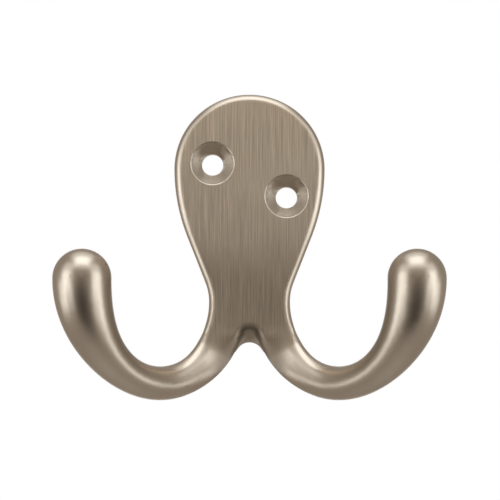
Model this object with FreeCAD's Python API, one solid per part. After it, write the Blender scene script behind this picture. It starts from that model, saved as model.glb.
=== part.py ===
# Double robe hook, one zinc casting: a keyhole-shaped plate with two countersunk
# screw holes, which splits below its neck into two round arms. The arms sweep
# outward and forward, turn up and end in bulbs.
# Millimetres. x runs to the right, y into the wall (the wall is y = 0), z up.
# The origin lies on the wall, midway between the two screw holes.
import FreeCAD, Part
import math
import os

V = FreeCAD.Vector

# Plate
plate_thickness = 3.4
head_radius = 14.0
head_centre_z = 2.2
side_radius = 34.0
side_lean_deg = 21.5
neck_half_width = 7.5
neck_upper_radius = 10.0
neck_lower_radius = 14.0
rim_radius = 1.6
back_edge_radius = 0.4

# Screw holes, one high on the left and one low on the right
hole_offset_x = 6.88
hole_offset_z = 3.07
hole_diameter = 4.0
sink_diameter = 8.0
sink_angle_deg = 82.0
sink_rim = 0.1

# Split between the arms, and the thin web left in it
split_radius = 1.6
web_drop = 2.05
web_radius = 2.6
web_lean_deg = 36.0
web_leg = 1.0
web_setback = 0.2

# Arms: from the plate down to the bend, then up to the bulb. The shares tell how far down
# its first leg an arm has become oval and has narrowed to its own diameter. Until it is quite
# round its front falls off toward the split. Its back stands clear of the wall by the relief.
arm_start_lean_deg = 18.0
arm_run = 12.08
arm_drop = 10.0
arm_diameter = 6.2
rounded_share = 0.25
narrowed_share = 0.75
front_fall = 0.8
arm_relief = 0.1
bend_reach = 8.0
bulb_run = 12.9
bulb_rise = 17.9
bulb_diameter = 10.56
projection = 27.5

# Making: stations on each leg of an arm's skin, and the slack allowed where solids join
stations_per_leg = 4
join_slack = 1e-4


def spot(x, reach, z):
    """A point by its place across, its reach out from the wall and its height."""
    return V(x, -reach, z)


def round_from(centre, radius, degrees):
    angle = math.radians(degrees)
    return (centre[0] + radius * math.cos(angle), centre[1] + radius * math.sin(angle))


def line(first, last):
    return Part.makeLine(spot(first[0], 0, first[1]), spot(last[0], 0, last[1]))


def arc(first, middle, last):
    return Part.Arc(*[spot(p[0], 0, p[1]) for p in (first, middle, last)]).toShape()


def flip(point):
    return (-point[0], point[1])


# Plate outline, right half, from its widest place down to the split.
# Each arc runs on tangent to the one before.
lean = math.radians(side_lean_deg)
start = math.radians(arm_start_lean_deg)

widest = (head_radius, head_centre_z)
side_centre = (head_radius - side_radius, head_centre_z)
side_middle = round_from(side_centre, side_radius, -side_lean_deg / 2)
side_end = round_from(side_centre, side_radius, -side_lean_deg)
taper_end_x = neck_half_width + neck_upper_radius * (1 - math.cos(lean))
taper_end = (taper_end_x, side_end[1] - (side_end[0] - taper_end_x) / math.tan(lean))
neck = (neck_half_width, taper_end[1] - neck_upper_radius * math.sin(lean))
upper_centre = (neck[0] + neck_upper_radius, neck[1])
upper_middle = round_from(upper_centre, neck_upper_radius, 180 - side_lean_deg / 2)
lower_centre = (neck[0] + neck_lower_radius, neck[1])
lower_middle = round_from(lower_centre, neck_lower_radius, 180 + arm_start_lean_deg / 2)
outer_corner = round_from(lower_centre, neck_lower_radius, 180 + arm_start_lean_deg)

# The arm goes on square to the line between these two corners.
arm_start_width = outer_corner[0] / math.cos(start) - split_radius
inner_corner = (outer_corner[0] - arm_start_width * math.cos(start),
                outer_corner[1] - arm_start_width * math.sin(start))
split_top = (0, inner_corner[1] + split_radius * (1 - math.sin(start)))
arm_start = ((outer_corner[0] + inner_corner[0]) / 2, (outer_corner[1] + inner_corner[1]) / 2)

outline = [arc(flip(widest), (0, head_centre_z + head_radius), widest),
           arc(inner_corner, split_top, flip(inner_corner))]
for hand in (lambda p: p, flip):
    outline += [arc(hand(widest), hand(side_middle), hand(side_end)),
                line(hand(side_end), hand(taper_end)),
                arc(hand(taper_end), hand(upper_middle), hand(neck)),
                arc(hand(neck), hand(lower_middle), hand(outer_corner)),
                line(hand(outer_corner), hand(inner_corner))]
plate = Part.Face(Part.Wire(Part.__sortEdges__(outline))).extrude(spot(0, plate_thickness, 0))


def rim(solid, reach):
    """The outline's edges at one reach, without the two where the arms go on."""
    found = []
    for edge in solid.Edges:
        middle = edge.valueAt((edge.FirstParameter + edge.LastParameter) / 2)
        level = all(abs(p.y + reach) < 1e-6 for p in [middle] + [v.Point for v in edge.Vertexes])
        at_arm = math.hypot(abs(middle.x) - arm_start[0], middle.z - arm_start[1]) < 1e-3
        if level and not at_arm:
            found.append(edge)
    return found


plate = plate.makeFillet(rim_radius, rim(plate, plate_thickness))
plate = plate.makeFillet(back_edge_radius, rim(plate, 0))


# Arm centre line: part of an ellipse down to the bend, a quarter ellipse up to the bulb.
# The first ellipse is the one which leaves the plate at the plate's own lean.
bend_x = arm_start[0] + arm_run
bend_z = arm_start[1] - arm_drop
steepness = arm_drop / arm_run
start_angle = math.acos(steepness / (1 / math.tan(start) - steepness))
down_width = arm_run / math.sin(start_angle)
down_height = arm_drop / (1 - math.cos(start_angle))
bulb_reach = projection - bulb_diameter / 2
splay = (bulb_reach - bend_reach) / bulb_run
down_length = down_width * start_angle
up_length = bulb_run * math.pi / 2
arm_length = down_length + up_length


def ease(t):
    t = min(max(t, 0), 1)
    return t * t * (3 - 2 * t)


def form(v):
    """Half width, half depth, turn inward and roundness of the arm at the length v."""
    t = v / down_length
    turn = math.atan(splay) * ease(t)
    if t < 1:
        a = (arm_start_width + (arm_diameter - arm_start_width) * ease(t / narrowed_share)) / 2
        b = (plate_thickness + (arm_diameter - plate_thickness) * ease(t)) / 2
        return a, b, turn, ease(t / rounded_share)
    swell = math.sin((v - down_length) / bulb_run) ** 3
    radius = (arm_diameter + (bulb_diameter - arm_diameter) * swell) / 2
    return radius, radius, turn, 1


def centre(v):
    """The centre line at the length v. The arm's back leaves the wall smoothly."""
    if v < down_length:
        t = v / down_length
        angle = start_angle * (1 - t)
        a, b, turn, roundness = form(v)
        s, c = math.sin(turn), math.cos(turn)
        square = (a - back_edge_radius) * s + (b - back_edge_radius) * c + back_edge_radius
        behind = square + (math.hypot(a * s, b * c) + arm_relief - square) * roundness
        lift = bend_reach - arm_diameter / 2 - arm_relief
        return spot(bend_x - down_width * math.sin(angle),
                    behind + lift * t ** (splay * down_length / lift),
                    bend_z + down_height * (1 - math.cos(angle)))
    angle = (v - down_length) / bulb_run
    return spot(bend_x + bulb_run * math.sin(angle), bend_reach + splay * bulb_run * math.sin(angle),
                bend_z + bulb_rise * (1 - math.cos(angle)))


# A section is a closed run of 16 cubic spans, given by its joints: a point, and the
# handle there. Both handles at a joint are alike, so that the skin stays smooth.
def slab_joints(a, b):
    """The plate's own section: half width a, half depth b, round rim in front."""
    d = math.sqrt(0.5)
    bow = 4 / 3 * math.tan(math.pi / 16)
    half = []
    for radius, f in ((rim_radius, 1), (back_edge_radius, -1)):
        side, top, handle = a - radius, b - radius, radius * bow
        half.append([((side, f * b), (f * handle, 0)),
                     ((side + radius * d, f * (top + radius * d)), (f * d * handle, -d * handle)),
                     ((a, f * top), (0, -handle))])
    flank_middle = ((a, (back_edge_radius - rim_radius) / 2), (0, (rim_radius - 2 * b) / 6))
    right = half[0] + [flank_middle] + half[1][::-1]
    left = [((-p[0], p[1]), (h[0], -h[1])) for p, h in reversed(right)]
    front_middle = ((0, b), ((a - rim_radius) / 3, 0))
    back_middle = ((0, -b), ((back_edge_radius - a) / 3, 0))
    return [front_middle] + right + [back_middle] + left


def oval_joints(a, b):
    joints = []
    handle = 4 / 3 * math.tan(math.pi / 32)
    for i in range(16):
        angle = math.pi / 2 - i * math.pi / 8
        s, c = math.sin(angle), math.cos(angle)
        joints.append(((a * c, b * s), (a * s * handle, -b * c * handle)))
    return joints


def between(p, q, share):
    return (p[0] + (q[0] - p[0]) * share, p[1] + (q[1] - p[1]) * share)


step = arm_length * 1e-4


def section(v):
    """The control points round the arm at the length v along it."""
    middle = centre(v)
    run = centre(v + step) - centre(v - step) if v > step else \
        spot(math.sin(start), 0, -math.cos(start))
    run.normalize()
    a, b, turn, roundness = form(v)
    front = spot(-math.sin(turn), math.cos(turn), 0)
    front = (front - run * front.dot(run)).normalize()
    side = front.cross(run)
    fall = front_fall * roundness * (1 - ease(v / down_length))
    joints = []
    for (slab, slab_handle), (oval, oval_handle) in zip(slab_joints(a, b), oval_joints(a, b)):
        x, y = between(slab, oval, roundness)
        dx, dy = between(slab_handle, oval_handle, roundness)
        if y > 0:
            kept = 1 - fall * (1 - x / a) / 2
            dy = dy * kept + y * dx * fall / a / 2
            y = y * kept
        joints.append((middle + side * x + front * y, side * dx + front * dy))
    poles = []
    for (point, handle), (onward, onward_handle) in zip(joints, joints[1:] + joints[:1]):
        poles += [point, point + handle, onward - onward_handle]
    return poles


# Rows of control points along the arm: at each station the section, moved back
# and on along the arm by a third of the way to its neighbours.
legs = range(stations_per_leg)
stations = [down_length * i / stations_per_leg for i in legs]
stations += [down_length + up_length * i / stations_per_leg for i in legs] + [arm_length]
rows = []
for i, v in enumerate(stations):
    low, high = max(v - step, 0), min(v + step, arm_length)
    slopes = [(q - p) * (1 / (high - low)) for p, q in zip(section(low), section(high))]
    gaps = [(stations[j] - v) / 3 for j in (i - 1, i + 1) if 0 <= j < len(stations)]
    if len(gaps) == 1:
        gaps.insert(0 if i == 0 else 1, 0)
    rows += [[p + s * gap for p, s in zip(section(v), slopes)] for gap in gaps]

# One strip of skin to each span, closed by flat ends
strips = []
for first in range(0, len(rows[0]), 3):
    poles = [[row[(first + i) % len(row)] for row in rows] for i in range(4)]
    skin = Part.BSplineSurface()
    skin.buildFromPolesMultsKnots(poles, [4, 4], [4] + [2] * (len(stations) - 2) + [4],
                                  [0, 1], stations, False, False, 3, 3)
    strips.append(skin)
ends = [Part.Face(Part.Wire([skin.vIso(v).toShape() for skin in strips])) for v in (0, arm_length)]
shell = Part.makeShell([skin.toShape() for skin in strips] + ends)
shell.sewShape()
dome = Part.makeSphere(bulb_diameter / 2, centre(arm_length), V(0, 0, 1), 0, 90, 360)
right_arm = Part.Solid(shell).fuse([dome], join_slack)
left_arm = right_arm.mirror(V(0, 0, 0), V(1, 0, 0))

# The web in the split, with an arched foot. Its sides and top lie buried in the arms and plate.
web_low_z = split_top[1] - web_drop
web_lean = math.radians(web_lean_deg)
web_bend = round_from((0, web_low_z - web_radius), web_radius, web_lean_deg)
web_foot = (web_bend[0] + web_leg * math.sin(web_lean), web_bend[1] - web_leg * math.cos(web_lean))
web_top = (arm_start[0], split_top[1] + split_radius)
web_outline = [arc(flip(web_bend), (0, web_low_z), web_bend), line(web_top, flip(web_top))]
for hand in (lambda p: p, flip):
    web_outline += [line(hand(web_bend), hand(web_foot)), line(hand(web_foot), hand(web_top))]
web_front = plate_thickness - rim_radius - web_setback
web_thickness = web_front - back_edge_radius - web_setback
web = Part.Face(Part.Wire(Part.__sortEdges__(web_outline))).extrude(spot(0, -web_thickness, 0))
web.translate(spot(0, web_front, 0))
hook = plate.fuse([right_arm, left_arm, web], join_slack)


def turned(profile, mouth):
    """A solid turned about an axis into the wall, from radii and depths below its mouth."""
    points = [mouth + V(radius, depth, 0) for radius, depth in profile]
    return Part.Face(Part.makePolygon(points + points[:1])).revolve(mouth, V(0, 1, 0), 360)


# Countersunk screw holes with a small chamfer round the mouth
hole_radius = hole_diameter / 2
sink_radius = sink_diameter / 2
sink_slope = math.tan(math.radians(sink_angle_deg / 2))
screw_seat = [(0, 0), (sink_radius + sink_rim, 0), (sink_radius - sink_rim * sink_slope, sink_rim),
              (hole_radius, (sink_radius - hole_radius) / sink_slope),
              (hole_radius, 2 * plate_thickness), (0, 2 * plate_thickness)]
mouths = [spot(side * hole_offset_x, plate_thickness, -side * hole_offset_z) for side in (-1, 1)]
hook = hook.cut([turned(screw_seat, mouth) for mouth in mouths]).Solids[0]

os.makedirs("parts", exist_ok=True)
hook.exportStep("parts/hook_casting.step")
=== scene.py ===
# A double robe hook in satin nickel, hung in the air before a white studio ground.
# Metres, in the frame of the CAD part: x to the right, y into the wall, z up.
import math
import bpy
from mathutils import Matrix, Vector


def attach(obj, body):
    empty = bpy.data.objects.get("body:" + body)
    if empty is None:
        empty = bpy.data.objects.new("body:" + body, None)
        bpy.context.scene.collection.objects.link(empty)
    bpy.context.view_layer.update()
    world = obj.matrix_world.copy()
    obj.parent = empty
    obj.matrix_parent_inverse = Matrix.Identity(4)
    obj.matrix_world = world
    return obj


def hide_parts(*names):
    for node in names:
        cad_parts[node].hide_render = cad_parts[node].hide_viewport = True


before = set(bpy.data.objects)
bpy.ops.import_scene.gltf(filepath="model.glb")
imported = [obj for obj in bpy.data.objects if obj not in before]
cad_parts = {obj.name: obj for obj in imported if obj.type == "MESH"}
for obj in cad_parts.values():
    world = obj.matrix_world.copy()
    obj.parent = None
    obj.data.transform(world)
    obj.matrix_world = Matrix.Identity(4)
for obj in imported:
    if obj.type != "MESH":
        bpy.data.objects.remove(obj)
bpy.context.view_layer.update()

# Hook. One zinc die casting, plated with nickel and lacquered. The plate's flat front is
# brushed in upright lines before plating, and the rim, arms and bulbs keep a blasted satin.
# Its mesh is the frame's own solid, welded so that the round metal reflects without facets.
plate_front = 0.0034
hole_x, hole_z = 0.00688, -0.00307
sink_radius = 0.0040
seat_reach = sink_radius * 1.05
crotch_top = -0.0272
weld_gap = 1e-6
circle_slack = 1e-5
smooth_angle = math.radians(25)

nickel = (0.66, 0.565, 0.455, 1)
nickel_dark = (0.62, 0.525, 0.42, 1)
brush_dark = (0.48, 0.388, 0.288, 1)
brush_light = (0.80, 0.663, 0.500, 1)
nickel_painted_shade = (0.37, 0.31, 0.245, 1)
nickel_painted_crease_shadow = (0.20, 0.16, 0.115, 1)

bpy.ops.object.select_all(action="DESELECT")
casting = bpy.data.objects["hook_casting"]
casting.select_set(True)
bpy.context.view_layer.objects.active = casting
bpy.ops.object.duplicate()
hook = bpy.context.active_object
hook.name = "satin_hook"
bpy.ops.object.mode_set(mode="EDIT")
bpy.ops.mesh.select_all(action="SELECT")
bpy.ops.mesh.remove_doubles(threshold=weld_gap)
bpy.ops.mesh.select_all(action="DESELECT")
bpy.ops.object.mode_set(mode="OBJECT")
bpy.ops.object.shade_smooth_by_angle(angle=smooth_angle)


def turned_from_hole(point):
    """How far a point lies from the axis of the screw hole on its side of the plate."""
    side = 1 if point.x > 0 else -1
    return math.hypot(point.x * side - hole_x, point.z * side - hole_z)


# The turned edges of a screw seat stay crisp: the circles on the plate and on the cone
points = hook.data.vertices
for edge in hook.data.edges:
    ends = [points[i].co for i in edge.vertices]
    apart = [turned_from_hole(end) for end in ends]
    same_depth = abs(ends[0].y - ends[1].y) < weld_gap
    same_circle = abs(apart[0] - apart[1]) < circle_slack
    if same_depth and same_circle and max(apart) < seat_reach:
        edge.use_edge_sharp = True
bpy.ops.object.modifier_add(type="WEIGHTED_NORMAL")
hook.modifiers[-1].keep_sharp = True
bpy.ops.object.modifier_apply(modifier=hook.modifiers[-1].name)


def add_node(tree, kind, inputs, **settings):
    """A shader node with its settings, and each input a value or another node's output."""
    made = tree.nodes.new(kind)
    for name, value in settings.items():
        setattr(made, name, value)
    for key, value in inputs.items():
        if isinstance(value, bpy.types.NodeSocket):
            tree.links.new(value, made.inputs[key])
        else:
            made.inputs[key].default_value = value
    return made


def ramp(tree, value, begins, full, low=0.0, high=1.0):
    """A smooth step, low up to where the value begins it and high from where it is full."""
    step = add_node(tree, "ShaderNodeMapRange", {
        "Value": value, "From Min": begins, "From Max": full, "To Min": low, "To Max": high},
        interpolation_type="SMOOTHSTEP")
    return step.outputs["Result"]


def calculate(tree, operation, *values):
    """The result of one step of arithmetic."""
    made = add_node(tree, "ShaderNodeMath", dict(enumerate(values)), operation=operation)
    return made.outputs["Value"]


def overlap(tree, first, *others):
    """Where several masks hold at once."""
    for other in others:
        first = calculate(tree, "MULTIPLY", first, other)
    return first


def mix_colours(tree, factor, first, second):
    """The first colour where the factor is 0, and the second where it is 1."""
    made = add_node(tree, "ShaderNodeMix", {"Factor": factor, 6: first, 7: second},
                    data_type="RGBA")
    return made.outputs[2]


def mix_ways(tree, factor, first, second):
    """The first direction where the factor is 0, and the second where it is 1."""
    made = add_node(tree, "ShaderNodeMix", {"Factor": factor, 4: first, 5: second},
                    data_type="VECTOR")
    return made.outputs[1]


satin_nickel = bpy.data.materials.new("satin_nickel")
satin_nickel.use_nodes = True
tree = satin_nickel.node_tree
metal = tree.nodes["Principled BSDF"]
coordinates = tree.nodes.new("ShaderNodeTexCoord")
place = add_node(tree, "ShaderNodeSeparateXYZ", {"Vector": coordinates.outputs["Object"]})
facing = add_node(tree, "ShaderNodeSeparateXYZ", {"Vector": coordinates.outputs["Normal"]})
depth, height = place.outputs["Y"], place.outputs["Z"]
from_middle = calculate(tree, "ABSOLUTE", place.outputs["X"])

# Where the metal is brushed: on the flat front alone, fading out where the arms begin.
# Here and below, a pair of numbers is where a mask begins and where it is full.
flat_facing = (-0.92, -0.975)
level_depth = (0.0010, 0.0004)
brush_height = (-0.0345, -0.0285)
flat = ramp(tree, facing.outputs["Y"], *flat_facing)
off_face = calculate(tree, "ABSOLUTE", calculate(tree, "ADD", depth, plate_front))
level = ramp(tree, off_face, *level_depth)
brushed = overlap(tree, flat, level, ramp(tree, height, *brush_height))

# Where it is turned: in the two screw seats, which mirror each other through the middle
front_facing = (0.8, 0.4)
seat_edge = (sink_radius + 0.00005, sink_radius - 0.00015)
hand = calculate(tree, "SIGN", place.outputs["X"])
across = calculate(tree, "MULTIPLY_ADD", place.outputs["X"], hand, -hole_x)
along = calculate(tree, "MULTIPLY_ADD", height, hand, -hole_z)
from_hole = calculate(tree, "SQRT", calculate(
    tree, "MULTIPLY_ADD", across, across, calculate(tree, "MULTIPLY", along, along)))
not_back = ramp(tree, facing.outputs["Y"], *front_facing)
in_seat = overlap(tree, not_back, ramp(tree, from_hole, *seat_edge))

# The brushed face dips a little toward its foot, swells again into the arms, and leans there
# toward the split. The light alone shows this: the mesh stays flat, as the casting's face is.
dip_start, dip_depth = 0.0114, 2.3
swell_start, swell_height = -0.0235, 9.0
lean_height, lean = (-0.0255, -0.0335), 0.12
lean_end, lean_round, lean_middle = 0.0064, 0.005, 0.0045
foot_facing, foot_height = (-0.86, -0.95), (-0.0375, -0.0335)
sunk = calculate(tree, "MINIMUM", calculate(tree, "SUBTRACT", height, dip_start), 0.0)
risen = calculate(tree, "MINIMUM", calculate(tree, "SUBTRACT", height, swell_start), 0.0)
dip = calculate(tree, "MULTIPLY", calculate(tree, "MULTIPLY", sunk, sunk), -dip_depth)
swell = calculate(tree, "MULTIPLY", risen, risen)
form = calculate(tree, "MULTIPLY_ADD", swell, swell_height, dip)
leaning = calculate(tree, "MULTIPLY", ramp(tree, height, *lean_height), lean)
from_split = calculate(tree, "SMOOTH_MIN", from_middle, lean_end, lean_round)
from_split = calculate(tree, "SUBTRACT", from_split, lean_middle)
form = calculate(tree, "MULTIPLY_ADD", from_split, leaning, form)
dipped = add_node(tree, "ShaderNodeBump", {"Strength": 1.0, "Distance": 1.0, "Height": form})
shaped = overlap(tree, ramp(tree, facing.outputs["Y"], *foot_facing),
                 ramp(tree, height, *foot_height), level)
surface = tree.nodes.new("ShaderNodeNewGeometry")
formed = mix_ways(tree, shaped, surface.outputs["Normal"], dipped.outputs["Normal"])

# Where it stays dull: in the crotch, which neither the brush nor the blasting reaches, and in
# a patch on each side of the split, where the brush is lifted off
crotch_reach, crotch_height = (0.0032, 0.0022), (crotch_top, crotch_top - 0.0006)
patch_reach = (0.0078, 0.0050)
patch_top, patch_foot = (-0.0270, -0.0300), (-0.0370, -0.0335)
crotch = overlap(tree, not_back, ramp(tree, from_middle, *crotch_reach),
                 ramp(tree, height, *crotch_height))
patch = overlap(tree, not_back, ramp(tree, from_middle, *patch_reach),
                ramp(tree, height, *patch_top), ramp(tree, height, *patch_foot))
dull = calculate(tree, "MAXIMUM", crotch, patch)

# Brush lines, about 0.1 mm apart and some 15 mm long, tool rings in the seats, satin grain,
# and the slow clouds of tone that a casting has, each given in waves to the metre
line_waves = (8500, 0, 65)
ring_waves = 9000.0
grain_waves = 9000.0
cloud_waves = 140.0
groove_depth, grain_depth = 1.2e-5, 4e-6
stretched = add_node(tree, "ShaderNodeMapping", {
    "Vector": coordinates.outputs["Object"], "Scale": line_waves})
lines = add_node(tree, "ShaderNodeTexNoise", {
    "Vector": stretched.outputs["Vector"], "Scale": 1.0, "Detail": 3.0, "Roughness": 0.8})
rings = add_node(tree, "ShaderNodeTexNoise", {
    "W": calculate(tree, "MULTIPLY", from_hole, ring_waves), "Detail": 2.0},
    noise_dimensions="1D")
grain = add_node(tree, "ShaderNodeTexNoise", {
    "Vector": coordinates.outputs["Object"], "Scale": grain_waves, "Detail": 2.0})
clouds = add_node(tree, "ShaderNodeTexNoise", {
    "Vector": coordinates.outputs["Object"], "Scale": cloud_waves, "Detail": 2.0})
line_marks = calculate(tree, "MULTIPLY", lines.outputs["Fac"], brushed)
marks = calculate(tree, "MULTIPLY_ADD", rings.outputs["Fac"], in_seat, line_marks)
grooved = add_node(tree, "ShaderNodeBump", {
    "Strength": 1.0, "Distance": groove_depth, "Height": marks, "Normal": formed})
grained = add_node(tree, "ShaderNodeBump", {
    "Strength": 1.0, "Distance": grain_depth, "Height": grain.outputs["Fac"],
    "Normal": grooved.outputs["Normal"]})
tree.links.new(grained.outputs["Normal"], metal.inputs["Normal"])

# The colour of the plating: clouded on the satin, and light and dark by the line where brushed
cloud_tone, line_tone = (0.3, 0.7), (0.36, 0.64)
clouded = mix_colours(tree, ramp(tree, clouds.outputs["Fac"], *cloud_tone), nickel, nickel_dark)
lined = mix_colours(tree, ramp(tree, lines.outputs["Fac"], *line_tone), brush_dark, brush_light)
plated = mix_colours(tree, brushed, clouded, lined)

# Painted shade: the nickel is darkened where the two arms and the sides of the split face each
# other, standing in for the shade they throw on each other, and painted darkest as a shadow on the
# rounded lip over the crotch
arm_facing, arm_height = (-0.62, -0.98), (-0.010, -0.014)
flank_facing, flank_reach, flank_height = (-0.35, -0.80), (0.0075, 0.0050), (-0.024, -0.027)
lip_front, lip_back = (-0.00345, -0.0031), (-0.0023, -0.0028)
lip_reach, lip_facing = (0.0026, 0.0012), (-0.05, -0.35)
inward = calculate(tree, "MULTIPLY", facing.outputs["X"], hand)
arm_painted_shade = overlap(tree, ramp(tree, inward, *arm_facing), ramp(tree, height, *arm_height))
flank_painted_shade = overlap(tree, ramp(tree, inward, *flank_facing), not_back,
                    ramp(tree, from_middle, *flank_reach), ramp(tree, height, *flank_height))
# Painted shadow in the crease: the lip over the crotch is coloured dark where shade falls
crease_painted_shadow = overlap(tree, ramp(tree, depth, *lip_front), ramp(tree, depth, *lip_back),
                 ramp(tree, from_middle, *lip_reach), ramp(tree, facing.outputs["Z"], *lip_facing))
# Painted shade on the faces of the arms and of the split that turn toward each other
plated = mix_colours(tree, calculate(tree, "MAXIMUM", arm_painted_shade, flank_painted_shade), plated, nickel_painted_shade)
plated = mix_colours(tree, crease_painted_shadow, plated, nickel_painted_crease_shadow)
tree.links.new(plated, metal.inputs["Base Color"])

# The lines of the brush and the rings of the turning tool draw each highlight out across them
satin_rough = (0.30, 0.34)
worked_rough, dull_rough = 0.12, 0.3
drawn_out = 0.8
satin = ramp(tree, clouds.outputs["Fac"], *cloud_tone, *satin_rough)
worked = calculate(tree, "MAXIMUM", brushed, in_seat)
rough = calculate(tree, "MULTIPLY_ADD", worked, worked_rough, satin)
rough = calculate(tree, "MULTIPLY_ADD", dull, dull_rough, rough)
tree.links.new(rough, metal.inputs["Roughness"])
tree.links.new(calculate(tree, "MULTIPLY", worked, drawn_out), metal.inputs["Anisotropic"])
spread = add_node(tree, "ShaderNodeTangent", {}, direction_type="RADIAL", axis="Z")
outward = add_node(tree, "ShaderNodeCombineXYZ", {"X": across, "Z": along})
gleam = mix_ways(tree, in_seat, spread.outputs["Tangent"], outward.outputs["Vector"])
tree.links.new(gleam, metal.inputs["Tangent"])
metal.inputs["Metallic"].default_value = 1
metal.inputs["Coat Weight"].default_value = 0.6
metal.inputs["Coat Roughness"].default_value = 0.3
hook.data.materials.clear()
hook.data.materials.append(satin_nickel)

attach(hook, "root")
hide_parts("hook_casting")

# Floor. A pale painted board, laid well below the hook, which hangs in the air as in the
# photograph. Its paint is lifted toward white for the camera alone, and lights nothing.
floor_size, floor_height = 1.6, -1.0
floor_pale = (0.8, 0.8, 0.8, 1)
floor_lift = 0.45
bpy.ops.mesh.primitive_plane_add(size=floor_size, location=(0, 0, floor_height))
floor = bpy.context.active_object
floor.name = "floor"
floor_paint = bpy.data.materials.new("floor_paint")
floor_paint.use_nodes = True
paint_tree = floor_paint.node_tree
paint = paint_tree.nodes["Principled BSDF"]
paint.inputs["Base Color"].default_value = floor_pale
paint.inputs["Emission Color"].default_value = (1, 1, 1, 1)
paint_rays = paint_tree.nodes.new("ShaderNodeLightPath")
lift = calculate(paint_tree, "MULTIPLY", paint_rays.outputs["Is Camera Ray"], floor_lift)
paint_tree.links.new(lift, paint.inputs["Emission Strength"])
floor.data.materials.append(floor_paint)

# Softboxes. One overhead and a little in front and one on each side, each a bright middle with
# a larger and dimmer skirt of cloth round it, and a low strip on each side for the arms.
# They are a little cooler than the room, and all face the middle of the hook.
aim = Vector((0, -0.010, -0.013))
daylight = (0.86, 0.93, 1.0)


def softbox(name, lamp_place, width, height, radiance):
    """An area lamp that is as bright to look at as its radiance, whatever its size."""
    bpy.ops.object.light_add(type="AREA", location=lamp_place)
    lamp = bpy.context.active_object
    lamp.name = name
    lamp.data.shape = "RECTANGLE"
    lamp.data.size = width
    lamp.data.size_y = height
    lamp.data.energy = radiance * math.pi * width * height
    lamp.data.color = daylight
    lamp.rotation_euler = (aim - Vector(lamp_place)).to_track_quat("-Z", "Y").to_euler()


softbox("top_box", (0, -0.23, 0.55), width=0.50, height=0.42, radiance=1.20)
softbox("top_skirt", (0, -0.165, 0.57), width=0.70, height=1.06, radiance=0.60)
for side, name in ((-1, "left"), (1, "right")):
    softbox(name + "_box", (side * 0.50, -0.30, 0.035), width=0.30, height=0.30, radiance=1.0)
    softbox(name + "_skirt", (side * 0.49, -0.29, 0.085), width=0.47, height=0.86, radiance=0.68)
    softbox(name + "_strip", (side * 0.555, -0.059, -0.132), width=0.29, height=0.25, radiance=0.9)

# Camera. A long lens half a metre off, which stands a little below the hook and looks up at it
# by 6 degrees. Its shift is the half pixel that the photograph's framing needs.
look_at = (0, -plate_front, -0.01313)
camera_distance = 0.5
camera_rise = math.radians(6)
bpy.ops.object.camera_add(
    location=(look_at[0], look_at[1] - camera_distance * math.cos(camera_rise),
              look_at[2] - camera_distance * math.sin(camera_rise)),
    rotation=(math.radians(90) + camera_rise, 0, 0))
camera = bpy.context.active_object
camera.data.sensor_width = 36
camera.data.lens = 194.4
camera.data.shift_x = 0.001
camera.data.clip_start = 0.01
bpy.context.scene.camera = camera

# Studio. A grey room, darker in front and below where the camera stands, with a white ground
# behind the hook. The camera sees that white everywhere, and the metal sees it from behind.
room_grey = (0.33, 0.294, 0.256, 1)
room_dark = (0.03, 0.026, 0.022, 1)
ground_white = (1, 1, 1, 1)
dark_way, dark_spread = (0, -0.883, -0.469), (0.72, 1.0)
ground_way, ground_spread = (0, 1, 0), (0.9, 0.985)

studio = bpy.data.worlds.new("studio")
studio.use_nodes = True
bpy.context.scene.world = studio
room_tree = studio.node_tree
room_ways = room_tree.nodes.new("ShaderNodeTexCoord")
room_rays = room_tree.nodes.new("ShaderNodeLightPath")


def toward(way, spread):
    """1 round one direction of the room, and 0 away from it."""
    near = add_node(room_tree, "ShaderNodeVectorMath",
                    {0: room_ways.outputs["Generated"], 1: way}, operation="DOT_PRODUCT")
    return ramp(room_tree, near.outputs["Value"], *spread)


room = mix_colours(room_tree, toward(dark_way, dark_spread), room_grey, room_dark)
mirrored = overlap(room_tree, room_rays.outputs["Is Glossy Ray"],
                   toward(ground_way, ground_spread))
seen = calculate(room_tree, "MAXIMUM", room_rays.outputs["Is Camera Ray"], mirrored)
room = mix_colours(room_tree, seen, room, ground_white)
room_tree.links.new(room, room_tree.nodes["Background"].inputs["Color"])

bpy.context.scene.view_settings.view_transform = "Standard"
